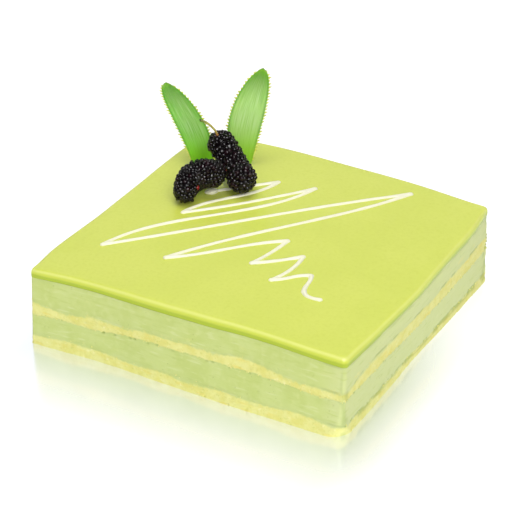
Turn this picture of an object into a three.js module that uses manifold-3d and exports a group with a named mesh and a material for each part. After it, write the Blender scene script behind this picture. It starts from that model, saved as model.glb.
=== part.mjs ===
// Square entremet cake: two yellow sponge sheets and two green mousse layers under a green glaze,
// with a white chocolate zigzag, two long black berries and two toothed strap leaves on top.
// Millimetres, +Z up. The origin is on the table, under the middle of the whole part.

import * as THREE from 'three';
import { mergeVertices } from 'three/addons/utils/BufferGeometryUtils.js';
import Module from 'manifold-3d';

const wasm = await Module();
wasm.setup();

// Plan of the cake at the table and under the glaze: corners from the front left, counter-clockwise.
const tableCorners = [[-77.9, -74.1], [75.2, -77.0], [75.6, 69.4], [-74.9, 76.3]];
const topCorners = [[-76.4, -74.1], [74.5, -73.5], [74.2, 70.5], [-74.8, 76.4]];
const topHeight = 34;
const cornerTightening = 6;
const cutCornerRadii = { table: [1.2, 9, 1.2, 9], top: [1.5, 1.8, 1.6, 9] };
const glazeCornerRadii = { table: [1.3, 1.8, 1.3, 11], top: [1.3, 1.8, 1.3, 11] };

// How far the front, right, back and left sides stand out from straight, at equal steps along them.
const tableSwells = [
  [0, -0.55, -1.4, -1.45, -1.0, -0.55, -0.1, 0.2, 0, -0.1, 0],
  [0, 0.1, -0.25, -0.75, -0.55, -0.15, -0.05, 0],
  [0, 1.3, 1.7, 1.3, 0],
  [0, -0.2, -0.2, 0],
];
const topSwells = [
  [0, -1.0, -1.3, -1.2, -0.8, -0.6, -0.7, -0.9, -0.6, 0, 0],
  [0, 1.1, 2.0, 2.5, 2.1, 1.8, 1.6, 0],
  [0, 1.9, 2.0, 2.0, 0],
  [0, 0.6, 0.65, 0.35, 0.25, 0.25, 0.95, 1.3, 0],
];
const sideSteps = 20;
const cornerSteps = 4;

// Heights of the seams between the layers, at equal steps along the same sides.
const seamHeights = {
  bottomSponge: [
    [5.0, 6.3, 5.8, 5.1, 5.5, 5.4, 6.1, 5.8, 5.8, 7.0, 5.8],
    [5.8, 5.6, 5.4, 5.0, 4.6, 5.1, 5.0, 5.2],
    [5.2, 6.2, 4.9, 5.6, 5.0],
    [5.0, 5.9, 4.7, 6.2, 5.0],
  ],
  middleSpongeBase: [
    [15.4, 15.9, 15.5, 17.2, 18.1, 18.1, 18.4, 18.3, 18.3, 17.5, 17.8],
    [17.8, 18.1, 18.1, 16.9, 16.6, 16.9, 17.1, 16.8],
    [16.8, 17.2, 16.2, 17.6, 16.4],
    [16.4, 15.6, 17.0, 16.2, 15.4],
  ],
  middleSpongeTop: [
    [22.0, 20.0, 22.2, 21.2, 23.0, 22.7, 22.5, 24.5, 22.2, 21.2, 21.0],
    [21.0, 24.8, 24.9, 23.8, 23.4, 24.0, 24.0, 23.6],
    [23.6, 23.4, 21.9, 23.2, 22.6],
    [22.6, 21.8, 23.5, 22.2, 22.0],
  ],
  glazeBase: [
    [33.8, 34.1, 34.4, 34.1, 34.0, 34.0, 34.0, 34.2, 34.1, 33.7, 33.0],
    [33.0, 33.2, 33.5, 33.2, 33.4, 33.3, 33.3, 33.6],
    [33.6, 33.4, 34.1, 33.6, 34.2],
    [34.2, 33.7, 34.2, 33.5, 33.8],
  ],
};
const layerGap = 0.2;
const joinTolerance = 0.03;
const layerRoughness = { sponge: 0.55, mousse: 0.16, glaze: 0.08 };

// Glaze: a poured sheet with a round edge, hardly proud of the sides.
const crownHeight = 38.6;
const crownDrops = { left: 0.7, right: 1.2 };
const halfWidth = 76;
const glazeEdge = [
  { swell: 0.1, rise: 0 },
  { swell: 0.4, rise: 0.2 },
  { swell: 0.5, rise: 0.5 },
  { swell: 0.3, rise: 0.78 },
  { swell: -0.25, rise: 0.96 },
];
const glazeTopInset = 1.2;
const topHubs = { left: -71.6, right: 73.6 };

// Zigzag of white chocolate: the turning points of one pour, and how far the two handles of each
// leg's curve stand to its left.
const zigzagTurns = [
  [-42.0, 21.4], [-18.9, 44.0], [-43.0, -0.9], [-1.1, 46.4], [-59.6, -42.2], [39.1, 63.0],
  [-29.3, -39.3], [10.1, -2.0], [5.6, -26.0], [22.4, -10.8], [19.6, -34.3], [32.7, -23.2],
  [36.1, -36.2], [44.8, -38.6],
];
const zigzagHandles = [
  [0.3, 0.3], [7.0, -6.0], [-2.4, -1.4], [12.5, -13.5], [-1.5, 2.6], [6.0, -4.5],
  [-3.0, 3.5], [1.2, 0.8], [-1.0, -0.6], [2.6, 2.2], [-1.5, 2.5], [1.5, -1.2],
  [-2.6, -1.6],
];
const beadHalfWidth = 1.0;
const beadHeight = 0.75;
const underBead = 0.78;
const beadStep = 17;
const startBlob = { x: -41.2, y: 21.8, length: 6.6, width: 4.2, height: 1.4, turn: 0.5 };

// Long berries: a spine with a radius at its start, middle and end, set all over with drupelets.
const lyingBerry = {
  spine: [[-46.9, 7.8, 44.2], [-50.9, 18.7, 46.8], [-39.9, 19.6, 49.2]],
  radii: [4.9, 7.1, 6.6],
  drupelet: 1.9,
  seed: 11,
};
const leaningBerry = {
  spine: [[-28.9, 27.7, 45.8], [-33.6, 33.2, 46.7], [-45.4, 38.7, 54.3]],
  radii: [6.3, 5.7, 6.0],
  drupelet: 2.2,
  seed: 29,
};
const drupeletLift = 0.5;
const drupeletDip = 0.42;
const stalkPoints = [[-45.6, 36.6, 58.0], [-47.6, 34.6, 63.9], [-50.7, 32.9, 66.9], [-52.8, 31.9, 67.6]];
const stalkRadius = 0.6;

// Strap leaves: each stands in a slit, leans and tapers to a point, with small teeth on its margins.
const leafLeft = {
  base: [-57.7, 42.6, 38.45], facing: 26, rise: 39.3, side: -17.0, sidePower: 1.7, back: 6.0,
  width: 13.2, tipPower: 5.9, tipRound: 0.65, channel: 1.5, seed: 5,
};
const leafRight = {
  base: [-43.3, 52.5, 38.25], facing: 24, rise: 45.4, side: 10.1, sidePower: 1.9, back: 8.4,
  width: 15.0, tipPower: 5.1, tipRound: 0.7, channel: 1.8, seed: 8,
};
const leafThickness = 0.9;
const leafDepth = 7.0;
const leafStations = 46;
const toothDepth = 0.7;
const slitClearance = 0.3;

// Colours and surfaces.
const looks = {
  sponge: { color: 0xe4dc86, roughness: 0.95 },
  mousse: { color: 0xcfd88e, roughness: 0.7 },
  glaze: { color: 0xd9e272, roughness: 0.2 },
  berry: { color: 0x17121a, roughness: 0.3 },
  leaf: { color: 0x8fc25a, roughness: 0.5 },
};

// Small repeatable random numbers between 0 and 1.
function seededRandom(seed) {
  let state = seed * 7919 + 17;
  return () => {
    state = (state * 1103515245 + 12345) % 2147483648;
    return state / 2147483648;
  };
}

const lerp = THREE.MathUtils.lerp;

// A value read from a list of evenly spaced values, on a smooth curve through them.
function curveAlong(values, fraction) {
  const place = fraction * (values.length - 1);
  const first = Math.min(Math.floor(place), values.length - 2);
  const share = place - first;
  const rest = 1 - share;
  const [before, start, end, after] = [first - 1, first, first + 1, first + 2].map(
    (i) => values[THREE.MathUtils.clamp(i, 0, values.length - 1)]);
  const onStart = rest ** 2 * ((1 + 2 * share) * start + share * (end - before) / 2);
  const onEnd = share ** 2 * ((1 + 2 * rest) * end - rest * (after - start) / 2);
  return onStart + onEnd;
}

// Plan outline at a height: side and corner points with their outward normals.
function planOutline(height, cornerRadii) {
  const mix = height / topHeight;
  const corners = tableCorners.map(([x, y], i) => new THREE.Vector2(
    lerp(x, topCorners[i][0], mix), lerp(y, topCorners[i][1], mix)));
  const along = corners.map((corner, i) => corners[(i + 1) % 4].clone().sub(corner).normalize());
  const tight = 1 - (1 - mix) ** cornerTightening;
  const radii = cornerRadii.table.map((radius, i) => lerp(radius, cornerRadii.top[i], tight));
  const points = [];
  for (let side = 0; side < 4; side++) {
    const next = (side + 1) % 4;
    const direction = along[side];
    const normal = new THREE.Vector2(direction.y, -direction.x);
    const start = corners[side].clone().addScaledVector(direction, radii[side]);
    const end = corners[next].clone().addScaledVector(direction, -radii[next]);
    for (let step = 0; step <= sideSteps; step++) {
      const fraction = step / sideSteps;
      const low = curveAlong(tableSwells[side], fraction);
      const swell = lerp(low, curveAlong(topSwells[side], fraction), mix);
      const spot = start.clone().lerp(end, fraction).addScaledVector(normal, swell);
      points.push({ x: spot.x, y: spot.y, normal, side, fraction });
    }
    const turn = normal.angleTo(new THREE.Vector2(along[next].y, -along[next].x));
    const centre = end.clone().addScaledVector(normal, -radii[next]);
    for (let step = 1; step < cornerSteps; step++) {
      const radial = normal.clone().rotateAround(new THREE.Vector2(), turn * step / cornerSteps);
      const spot = centre.clone().addScaledVector(radial, radii[next]);
      points.push({ x: spot.x, y: spot.y, normal: radial, side, fraction: 1 });
    }
  }
  return points;
}

function seamAt(name, point) {
  return curveAlong(seamHeights[name][point.side], point.fraction);
}

// One ring of points on the cake's side, between two seams, swelled out and roughened.
function sideRing(lowSeam, highSeam, rise, radii, { swell = 0, roughness = 0, random = () => 0.5 }) {
  return planOutline(0, radii).map((point, i) => {
    const height = lerp(lowSeam(point), highSeam(point), rise);
    const spot = planOutline(height, radii)[i];
    const out = swell + roughness * (2 * random() - 1);
    return new THREE.Vector3(spot.x + spot.normal.x * out, spot.y + spot.normal.y * out, height);
  });
}

// Side faces between rings of points going up, and a fan that closes the bottom.
function openStack(rings, bottomCentre) {
  const count = rings[0].length;
  const points = [...rings.flat(), bottomCentre];
  const faces = [];
  for (let i = 0; i < count; i++) {
    const next = (i + 1) % count;
    for (let level = 0; level < rings.length - 1; level++) {
      const low = level * count;
      const high = low + count;
      faces.push(low + i, low + next, high + i, low + next, high + next, high + i);
    }
    faces.push(rings.length * count, next, i);
  }
  return { points, faces, last: (rings.length - 1) * count };
}

// Closed geometry from rings of points going up, with a fan at each end.
function closedStack(rings, bottomCentre, topCentre) {
  const { points, faces, last } = openStack(rings, bottomCentre);
  const count = rings[0].length;
  for (let i = 0; i < count; i++) faces.push(points.length, last + i, last + (i + 1) % count);
  return indexedGeometry([...points, topCentre], faces);
}

function indexedGeometry(points, faces) {
  const geometry = new THREE.BufferGeometry();
  geometry.setAttribute('position', new THREE.Float32BufferAttribute(points.flatMap((p) => p.toArray()), 3));
  geometry.setIndex(faces);
  return geometry;
}

function meanHeight(ring) {
  return ring.reduce((sum, point) => sum + point.z, 0) / ring.length;
}

// A sponge or mousse layer that runs through the whole cake between two seams.
function cakeLayer(lowSeam, highSeam, roughness, seed) {
  const random = seededRandom(seed);
  const low = (point) => lowSeam(point) + layerGap / 2;
  const high = (point) => highSeam(point) - layerGap / 2;
  const rises = [0, 0.3, 0.7, 1];
  const rings = rises.map((rise) => sideRing(low, high, rise, cutCornerRadii, { roughness, random }));
  const bottom = new THREE.Vector3(0, 0, meanHeight(rings[0]));
  const top = new THREE.Vector3(0, 0, meanHeight(rings.at(-1)));
  return closedStack(rings, bottom, top);
}

function crownAt(x) {
  const drop = x < 0 ? crownDrops.left : crownDrops.right;
  return crownHeight - drop * (x / halfWidth) ** 2;
}

// The glaze sheet: round edge, then rings across the gently crowned top.
function glazeSheet() {
  const base = (point) => seamAt('glazeBase', point) + layerGap / 2;
  const rim = (point) => crownAt(point.x);
  const random = seededRandom(3);
  const roughness = layerRoughness.glaze;
  const rings = glazeEdge.map(({ swell, rise }) => (
    sideRing(base, rim, rise, glazeCornerRadii, { swell, roughness, random })));
  rings.push(sideRing(base, rim, 1, glazeCornerRadii, { swell: -glazeTopInset }));
  for (const point of rings.at(-1)) point.z = crownAt(point.x);
  const bottom = new THREE.Vector3(0, 0, meanHeight(rings[0]));
  return crownedCap(openStack(rings, bottom));
}

// Closes the crowned top with strips from front to back, and a fan along the left and right sides.
function crownedCap({ points, faces, last }) {
  const sideCount = sideSteps + cornerSteps;
  const front = (k) => last + k;
  const back = (k) => last + 2 * sideCount + sideSteps - k;
  for (let k = 0; k < sideSteps; k++) {
    faces.push(front(k), front(k + 1), back(k), front(k + 1), back(k + 1), back(k));
  }
  const hubs = Object.values(topHubs).map((x) => new THREE.Vector3(x, 0, crownAt(x)));
  const [leftHub, rightHub] = [points.length, points.length + 1];
  faces.push(leftHub, front(0), back(0), rightHub, back(sideSteps), front(sideSteps));
  for (let k = 0; k < sideCount + cornerSteps; k++) {
    const right = last + sideSteps + k;
    const left = last + 2 * sideCount + sideSteps + k;
    const leftNext = k < sideCount + cornerSteps - 1 ? left + 1 : last;
    faces.push(rightHub, right, right + 1, leftHub, left, leftNext);
  }
  return indexedGeometry([...points, ...hubs], faces);
}

// Solids for joining and cutting.
function toSolid(geometry) {
  const bare = geometry.clone();
  bare.deleteAttribute('normal');
  bare.deleteAttribute('uv');
  const merged = mergeVertices(bare, 1e-4);
  return new wasm.Manifold(new wasm.Mesh({
    numProp: 3,
    vertProperties: new Float32Array(merged.attributes.position.array),
    triVerts: new Uint32Array(merged.index.array),
  }));
}

function toGeometry(solid) {
  const mesh = solid.getMesh();
  const geometry = new THREE.BufferGeometry();
  geometry.setAttribute('position', new THREE.BufferAttribute(new Float32Array(mesh.vertProperties), 3));
  geometry.setIndex(new THREE.BufferAttribute(new Uint32Array(mesh.triVerts), 1));
  return geometry;
}

// Section of the chocolate bead: across and up, as shares of its half width and height.
const beadSection = [[-1.1, -0.6], [1.1, -0.6], [0.5, 1], [-0.5, 1]];

// One gently curved leg of the zigzag, with narrowed ends.
function beadLeg(from, to, [firstHandle, lastHandle], halfBead, height) {
  const start = new THREE.Vector2(...from);
  const end = new THREE.Vector2(...to);
  const length = start.distanceTo(end);
  const direction = end.clone().sub(start).normalize();
  const left = new THREE.Vector2(-direction.y, direction.x);
  const steps = Math.max(2, Math.round(length / beadStep));
  const stations = [{ at: -halfBead, size: 0.45 }];
  for (let step = 0; step <= steps; step++) stations.push({ at: length * step / steps, size: 1 });
  stations.push({ at: length + halfBead, size: 0.45 });
  const rings = stations.map(({ at, size }) => {
    const middle = start.clone().addScaledVector(direction, at);
    const share = THREE.MathUtils.clamp(at / length, 0, 1);
    const rest = 1 - share;
    middle.addScaledVector(left, 3 * share * rest * (firstHandle * rest + lastHandle * share));
    return beadSection.map(([across, up]) => new THREE.Vector3(
      middle.x + left.x * across * halfBead * size,
      middle.y + left.y * across * halfBead * size,
      crownAt(middle.x) + up * height * (up > 0 ? size : 1)));
  });
  const centre = (ring) => ring.reduce((sum, p) => sum.add(p), new THREE.Vector3()).divideScalar(ring.length);
  return closedStack(rings, centre(rings[0]), centre(rings.at(-1)));
}

// The flat lump where the pour began.
function pourBlob({ x, y, length, width, height, turn }) {
  const blob = new THREE.SphereGeometry(1, 12, 6);
  blob.rotateX(Math.PI / 2);
  blob.scale(length / 2, width / 2, height);
  blob.rotateZ(turn);
  blob.translate(x, y, crownAt(x));
  return blob;
}

function drizzleSolid() {
  let solid = toSolid(pourBlob(startBlob));
  for (let leg = 0; leg < zigzagTurns.length - 1; leg++) {
    const height = leg % 2 ? beadHeight : beadHeight * underBead;
    const shape = beadLeg(zigzagTurns[leg], zigzagTurns[leg + 1], zigzagHandles[leg], beadHalfWidth, height);
    solid = solid.add(toSolid(shape));
  }
  return solid;
}

// Radius of a berry along its spine, through its start, middle and end values.
function berryRadius([start, middle, end], t) {
  return start * (1 - t) * (1 - 2 * t) + middle * 4 * t * (1 - t) + end * t * (2 * t - 1);
}

// The bare skin of a berry: a round-ended tube along a bent spine.
function berrySkin({ spine, radii }) {
  const curve = new THREE.QuadraticBezierCurve3(...spine.map((p) => new THREE.Vector3(...p)));
  const steps = 40;
  const frames = curve.computeFrenetFrames(steps, false);
  const length = curve.getLength();
  const startCap = radii[0] * Math.PI / 2;
  const endCap = radii[2] * Math.PI / 2;
  const spot = (distance, turn) => {
    const body = THREE.MathUtils.clamp((distance - startCap) / length, 0, 1);
    const frame = Math.round(body * steps);
    let lean = 0;
    if (distance < startCap) lean = -(startCap - distance) / radii[0];
    if (distance > startCap + length) lean = (distance - startCap - length) / radii[2];
    const outward = frames.normals[frame].clone().multiplyScalar(Math.cos(turn));
    outward.addScaledVector(frames.binormals[frame], Math.sin(turn));
    outward.multiplyScalar(Math.cos(lean)).addScaledVector(frames.tangents[frame], Math.sin(lean));
    const radius = berryRadius(radii, body);
    return { point: curve.getPointAt(body).addScaledVector(outward, radius), outward, ring: radius * Math.cos(lean) };
  };
  return { spot, total: startCap + length + endCap };
}

// Rows of drupelet centres round the berry, each row with as many as fit.
function drupeletRows(berry) {
  const random = seededRandom(berry.seed);
  const { spot, total } = berrySkin(berry);
  const rowCount = Math.round(total / (berry.drupelet * 0.87));
  const rows = [];
  for (let row = 0; row <= rowCount; row++) {
    const distance = total * row / rowCount;
    const around = 2 * Math.PI * spot(distance, 0).ring;
    const pole = row === 0 || row === rowCount;
    const count = pole ? 1 : Math.max(5, Math.round(around / berry.drupelet));
    const phase = (row % 2) / 2;
    rows.push(Array.from({ length: count }, (unused, i) => {
      const turn = 2 * Math.PI * (i + phase + 0.24 * (random() - 0.5)) / count;
      const shift = pole ? 0 : 0.2 * berry.drupelet * (random() - 0.5);
      return { turn, lift: drupeletLift * (0.75 + 0.5 * random()), ...spot(distance + shift, turn) };
    }));
  }
  return rows;
}

// Triangles that join neighbouring rows of different length.
function joinRows(rows) {
  const offsets = [];
  rows.reduce((sum, row, i) => (offsets[i] = sum) + row.length, 0);
  const triangles = [];
  for (let level = 0; level < rows.length - 1; level++) {
    const low = rows[level];
    const high = rows[level + 1];
    const turnOf = (row, i) => row[i % row.length].turn + 2 * Math.PI * Math.floor(i / row.length);
    const lowSteps = low.length > 1 ? low.length : 0;
    const highSteps = high.length > 1 ? high.length : 0;
    let i = 0;
    let j = 0;
    while (i < lowSteps || j < highSteps) {
      const a = offsets[level] + i % low.length;
      const b = offsets[level + 1] + j % high.length;
      if (j >= highSteps || (i < lowSteps && turnOf(low, i + 1) <= turnOf(high, j + 1))) {
        i += 1;
        triangles.push([a, offsets[level] + i % low.length, b]);
      } else {
        j += 1;
        triangles.push([a, offsets[level + 1] + j % high.length, b]);
      }
    }
  }
  return triangles;
}

// A berry with every drupelet raised to a peak and a valley where three of them meet.
function berryGeometry(berry) {
  const rows = drupeletRows(berry);
  const drupelets = rows.flat();
  const triangles = joinRows(rows);
  const points = drupelets.map((d) => d.point.clone().addScaledVector(d.outward, d.lift));
  const across = new Map();
  triangles.forEach((corners, t) => {
    corners.forEach((corner, k) => across.set(`${corner} ${corners[(k + 1) % 3]}`, points.length + t));
  });
  const valleys = triangles.map((corners) => {
    const middle = new THREE.Vector3();
    const outward = new THREE.Vector3();
    for (const corner of corners) {
      middle.addScaledVector(drupelets[corner].point, 1 / 3);
      outward.add(drupelets[corner].outward);
    }
    return middle.addScaledVector(outward.normalize(), -drupeletDip);
  });
  const faces = [];
  triangles.forEach((corners, t) => {
    corners.forEach((corner, k) => {
      const next = corners[(k + 1) % 3];
      faces.push(corner, across.get(`${next} ${corner}`), points.length + t);
    });
  });
  return indexedGeometry([...points, ...valleys], faces);
}

// The green stalk, a thin bent tube that starts inside the leaning berry's tip.
function stalkGeometry() {
  const path = new THREE.CatmullRomCurve3(stalkPoints.map((p) => new THREE.Vector3(...p)));
  const section = new THREE.Shape();
  section.absarc(0, 0, stalkRadius, 0, 2 * Math.PI);
  return new THREE.ExtrudeGeometry(section, { steps: 8, curveSegments: 3, extrudePath: path, bevelEnabled: false });
}

function leaningBerryGeometry() {
  return toGeometry(toSolid(berryGeometry(leaningBerry)).add(toSolid(stalkGeometry())));
}

// Half width of a leaf, from the cut base (0) to the tip (1).
function leafHalfWidth(leaf, t) {
  const base = 0.66 + 0.38 * Math.sin(Math.PI / 2 * THREE.MathUtils.clamp(t / 0.6, 0, 1));
  const tip = (1 - Math.max(t, 0) ** leaf.tipPower) ** leaf.tipRound;
  return leaf.width / 2 * base * tip;
}

// A leaf as a thin solid: two alike faces, a channel down the middle, waves and teeth on the margins.
function leafGeometry(leaf, from, to, stations, clearance = 0) {
  const random = seededRandom(leaf.seed);
  const turn = THREE.MathUtils.degToRad(leaf.facing);
  const wide = new THREE.Vector3(Math.cos(turn), Math.sin(turn), 0);
  const away = new THREE.Vector3(-Math.sin(turn), Math.cos(turn), 0);
  const across = [-1, -0.5, 0, 0.5, 1];
  const rings = [];
  for (let station = 0; station <= stations; station++) {
    const t = lerp(from, to, station / stations);
    const rise = Math.max(t, 0);
    const middle = new THREE.Vector3(...leaf.base);
    middle.z += leaf.rise * t;
    middle.addScaledVector(wide, leaf.side * rise ** leaf.sidePower);
    middle.addScaledVector(away, leaf.back * t);
    const taper = Math.min(1, Math.max(0.25, (1 - t) / 0.12));
    const half = leafThickness / 2 * taper + clearance;
    const tooth = (station % 2 ? toothDepth : 0) * Math.min(1, rise * 8) * (0.7 + 0.6 * random());
    const width = Math.max(leafHalfWidth(leaf, t), 0.35) + tooth * taper + clearance;
    const wave = 0.25 * Math.sin(9 * rise + leaf.seed);
    const face = (side) => across.map((share) => middle.clone()
      .addScaledVector(wide, share * width)
      .addScaledVector(away, side * half - leaf.channel * share ** 2 * (width / leaf.width * 2) + wave * share));
    rings.push([...face(-1), ...face(1).toReversed()]);
  }
  return stripGeometry(rings);
}

// Closed geometry for a thin strip: its rings' faces and ends are split into alike quads.
function stripGeometry(rings) {
  const count = rings[0].length;
  const last = (rings.length - 1) * count;
  const faces = [];
  for (let level = 0; level < rings.length - 1; level++) {
    for (let i = 0; i < count; i++) {
      const a = level * count + i;
      const b = level * count + (i + 1) % count;
      const front = i < count / 2;
      if (front) faces.push(a, b, a + count, b, b + count, a + count);
      else faces.push(a, b, b + count, a, b + count, a + count);
    }
  }
  for (let i = 0; i < count / 2 - 1; i++) {
    const mirror = count - 1 - i;
    faces.push(i, mirror, i + 1, i + 1, mirror, mirror - 1);
    faces.push(last + i, last + i + 1, last + mirror, last + i + 1, last + mirror - 1, last + mirror);
  }
  return indexedGeometry(rings.flat(), faces);
}

function wholeLeaf(leaf) {
  return leafGeometry(leaf, -leafDepth / leaf.rise, 1, leafStations);
}

// The room that a leaf takes in the layers it stands in.
function leafSlit(leaf) {
  const below = -(leafDepth + slitClearance) / leaf.rise;
  return toSolid(leafGeometry(leaf, below, 0.12, 4, slitClearance));
}

function piece(name, geometry, look) {
  const mesh = new THREE.Mesh(geometry, new THREE.MeshStandardMaterial({ ...looks[look], metalness: 0 }));
  mesh.name = name;
  return mesh;
}

const seam = (name) => (point) => seamAt(name, point);
const table = () => -layerGap / 2;
const { sponge, mousse } = layerRoughness;

const bottomSponge = cakeLayer(table, seam('bottomSponge'), sponge, 21);
const lowerMousse = cakeLayer(seam('bottomSponge'), seam('middleSpongeBase'), mousse, 22);
const middleSponge = cakeLayer(seam('middleSpongeBase'), seam('middleSpongeTop'), sponge, 23);
const slits = leafSlit(leafLeft).add(leafSlit(leafRight));
const upperMousse = toSolid(cakeLayer(seam('middleSpongeTop'), seam('glazeBase'), mousse, 24)).subtract(slits);
const glaze = toSolid(glazeSheet()).add(drizzleSolid()).subtract(slits).simplify(joinTolerance);

const cake = new THREE.Group();
cake.add(piece('bottom_sponge', bottomSponge, 'sponge'));
cake.add(piece('lower_mousse', lowerMousse, 'mousse'));
cake.add(piece('middle_sponge', middleSponge, 'sponge'));
cake.add(piece('upper_mousse', toGeometry(upperMousse), 'mousse'));
cake.add(piece('glaze', toGeometry(glaze), 'glaze'));
cake.add(piece('berry_lying', berryGeometry(lyingBerry), 'berry'));
cake.add(piece('berry_leaning', leaningBerryGeometry(), 'berry'));
cake.add(piece('leaf_left', wholeLeaf(leafLeft), 'leaf'));
cake.add(piece('leaf_right', wholeLeaf(leafRight), 'leaf'));

export default cake;
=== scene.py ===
"""Square entremet cake with two long berries and two strap leaves: its looks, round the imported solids.

Shapes are worked out in millimetres, in the solids' own frame, and make_mesh turns them into metres.
"""

import math

import bmesh
import bpy
import numpy as np
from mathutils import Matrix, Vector


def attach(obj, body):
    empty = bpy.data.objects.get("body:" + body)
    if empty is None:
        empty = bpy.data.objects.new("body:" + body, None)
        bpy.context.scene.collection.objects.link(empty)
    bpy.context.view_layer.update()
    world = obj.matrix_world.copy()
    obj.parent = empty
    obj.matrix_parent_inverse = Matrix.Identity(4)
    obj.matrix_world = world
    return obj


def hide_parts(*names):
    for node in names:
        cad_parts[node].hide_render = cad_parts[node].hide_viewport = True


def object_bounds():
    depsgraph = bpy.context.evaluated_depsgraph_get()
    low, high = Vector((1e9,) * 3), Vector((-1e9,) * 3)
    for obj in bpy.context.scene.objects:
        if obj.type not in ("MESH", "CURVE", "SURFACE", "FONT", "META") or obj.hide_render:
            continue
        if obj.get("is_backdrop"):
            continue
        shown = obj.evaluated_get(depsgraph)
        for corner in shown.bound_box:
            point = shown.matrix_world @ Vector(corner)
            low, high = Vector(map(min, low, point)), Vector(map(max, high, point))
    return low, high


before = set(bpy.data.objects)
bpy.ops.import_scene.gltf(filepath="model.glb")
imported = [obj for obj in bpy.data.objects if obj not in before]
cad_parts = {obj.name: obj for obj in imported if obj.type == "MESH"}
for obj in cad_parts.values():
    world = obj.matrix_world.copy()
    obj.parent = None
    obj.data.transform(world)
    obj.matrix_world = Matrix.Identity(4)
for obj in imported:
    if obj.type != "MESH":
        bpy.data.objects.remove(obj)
cad_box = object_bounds()

MM = 0.001

# Plan of the cake at the table and under the glaze: corners from the front left, counter-clockwise.
TABLE_CORNERS = np.array([[-77.9, -74.1], [75.2, -77.0], [75.6, 69.4], [-74.9, 76.3]])
TOP_CORNERS = np.array([[-76.4, -74.1], [74.5, -73.5], [74.2, 70.5], [-74.8, 76.4]])
TOP_HEIGHT = 34.0
CORNER_TIGHTENING = 6
CUT_RADII = {"table": [1.2, 9.0, 1.2, 9.0], "top": [1.5, 1.8, 1.6, 9.0]}
GLAZE_RADII = {"table": [1.3, 1.8, 1.3, 11.0], "top": [1.3, 1.8, 1.3, 11.0]}

# How far the front, right, back and left sides stand out from straight, at equal steps along them.
TABLE_SWELLS = [
    [0, -0.55, -1.4, -1.45, -1.0, -0.55, -0.1, 0.2, 0, -0.1, 0],
    [0, 0.1, -0.25, -0.75, -0.55, -0.15, -0.05, 0],
    [0, 1.3, 1.7, 1.3, 0],
    [0, -0.2, -0.2, 0],
]
TOP_SWELLS = [
    [0, -1.0, -1.3, -1.2, -0.8, -0.6, -0.7, -0.9, -0.6, 0, 0],
    [0, 1.1, 2.0, 2.5, 2.1, 1.8, 1.6, 0],
    [0, 1.9, 2.0, 2.0, 0],
    [0, 0.6, 0.65, 0.35, 0.25, 0.25, 0.95, 1.3, 0],
]
SIDE_STEPS = 380
CORNER_STEPS = 16

# Heights of the seams between the layers, at equal steps along the same sides.
SEAMS = {
    "bottom_sponge": [
        [5.0, 6.3, 5.8, 5.1, 5.5, 5.4, 6.1, 5.8, 5.8, 7.0, 5.8],
        [5.8, 5.6, 5.4, 5.0, 4.6, 5.1, 5.0, 5.2],
        [5.2, 6.2, 4.9, 5.6, 5.0],
        [5.0, 5.9, 4.7, 6.2, 5.0],
    ],
    "middle_sponge_base": [
        [15.4, 15.9, 15.5, 17.2, 18.1, 18.1, 18.4, 18.3, 18.3, 17.5, 17.8],
        [17.8, 18.1, 18.1, 16.9, 16.6, 16.9, 17.1, 16.8],
        [16.8, 17.2, 16.2, 17.6, 16.4],
        [16.4, 15.6, 17.0, 16.2, 15.4],
    ],
    "middle_sponge_top": [
        [22.0, 20.0, 22.2, 21.2, 23.0, 22.7, 22.5, 24.5, 22.2, 21.2, 21.0],
        [21.0, 24.8, 24.9, 23.8, 23.4, 24.0, 24.0, 23.6],
        [23.6, 23.4, 21.9, 23.2, 22.6],
        [22.6, 21.8, 23.5, 22.2, 22.0],
    ],
    "glaze_base": [
        [33.8, 34.1, 34.4, 34.1, 34.0, 34.0, 34.0, 34.2, 34.1, 33.7, 33.0],
        [33.0, 33.2, 33.5, 33.2, 33.4, 33.3, 33.3, 33.6],
        [33.6, 33.4, 34.1, 33.6, 34.2],
        [34.2, 33.7, 34.2, 33.5, 33.8],
    ],
}
ROW_PITCH = 0.4

# Glaze: a poured sheet with a round edge, hardly proud of the sides.
CROWN_HEIGHT = 38.6
LEFT_CROWN_DROP = 0.7
RIGHT_CROWN_DROP = 1.2
HALF_WIDTH = 76.0
EDGE_SWELL = 0.45
EDGE_FOOT = -0.1
EDGE_WAIST = 0.4
EDGE_INSET = 1.8
EDGE_SQUARENESS = 2.3
TOP_RINGS = 32

# Zigzag of white chocolate: the turning points of one pour, and how far the two handles of each
# leg's curve stand to its left.
ZIGZAG_TURNS = [
    (-42.0, 21.4), (-18.9, 44.0), (-43.0, -0.9), (-1.1, 46.4), (-59.6, -42.2), (39.1, 63.0),
    (-29.3, -39.3), (10.1, -2.0), (5.6, -26.0), (22.4, -10.8), (19.6, -34.3), (32.7, -23.2),
    (36.1, -36.2), (44.8, -38.6),
]
ZIGZAG_HANDLES = [
    (0.3, 0.3), (7.0, -6.0), (-2.4, -1.4), (12.5, -13.5), (-1.5, 2.6), (6.0, -4.5),
    (-3.0, 3.5), (1.2, 0.8), (-1.0, -0.6), (2.6, 2.2), (-1.5, 2.5), (1.5, -1.2),
    (-2.6, -1.6),
]
BEAD_HALF_WIDTH = 0.98
BEAD_HEIGHT = 0.74
LEG_SPACING = 0.35
TURN_REACH = 4.0
START_BLOB = {"x": -41.2, "y": 21.8, "length": 6.6, "width": 4.4, "height": 2.0, "turn": 0.5}

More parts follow.
